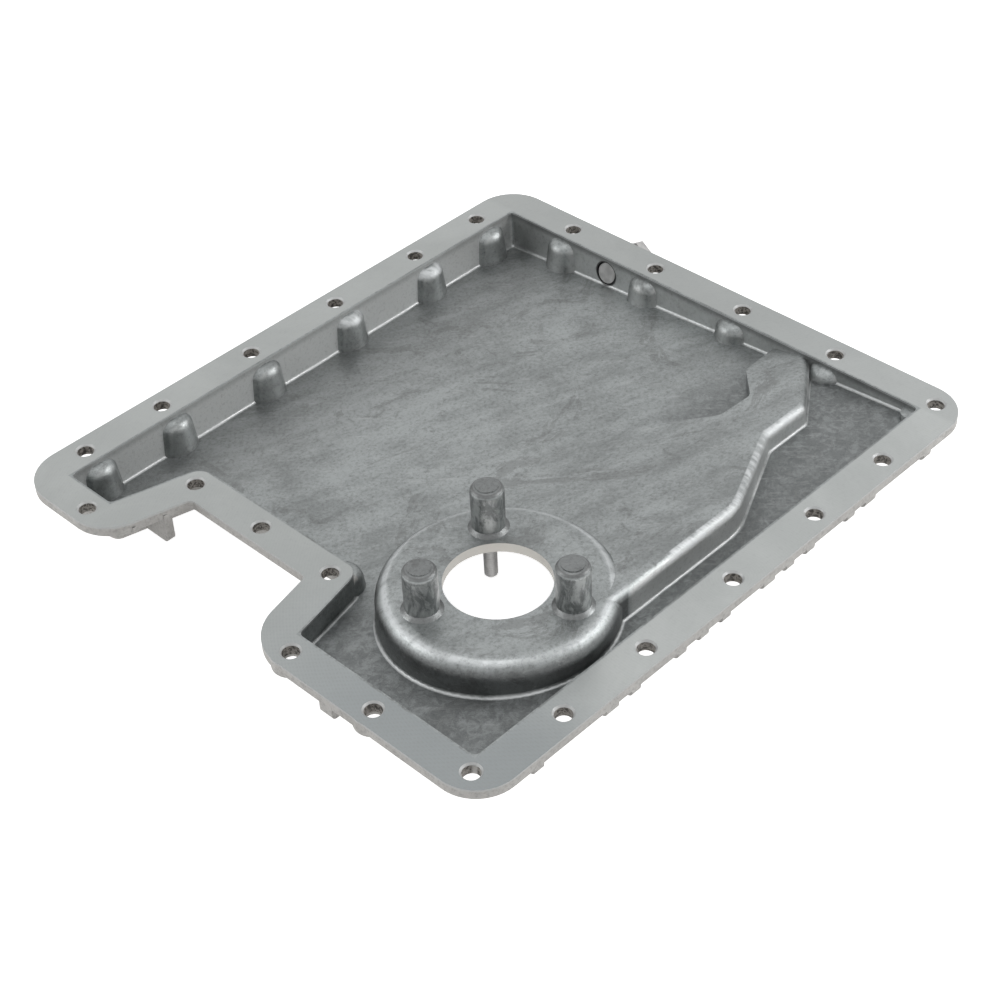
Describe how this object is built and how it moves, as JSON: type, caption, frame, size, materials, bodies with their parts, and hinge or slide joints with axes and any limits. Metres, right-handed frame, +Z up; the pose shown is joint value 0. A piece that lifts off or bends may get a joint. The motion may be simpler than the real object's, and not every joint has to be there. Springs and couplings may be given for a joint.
{
  "type": "engine oil pan",
  "caption": "Shallow die-cast engine oil pan with a bolted gasket flange, raised level-sensor seat with hanging studs, and a side drain plug.",
  "frame": {"origin": "on the gasket face, at the centre of the middle hole of the front bolt row", "axes": "+Z up out of the gasket face towards the engine, +X along the front bolt row towards the drain plug side, +Y towards the deep rear end"},
  "size_m": [0.3228, 0.2832, 0.0559],
  "materials": {
    "cast_aluminium": "as cast, satin, with a machined gasket face",
    "stud_steel": "zinc-grey rolled thread",
    "plug_steel": "plated, satin",
    "seal_ring": "soft, dull"
  },
  "bodies": {
    "root": {"oil_pan_casting": "cast_aluminium", "sensor_stud_1": "stud_steel", "sensor_stud_2": "stud_steel", "sensor_stud_3": "stud_steel", "drain_plug": "plug_steel", "drain_plug_seal_ring": "seal_ring"}
  },
  "joints": []
}
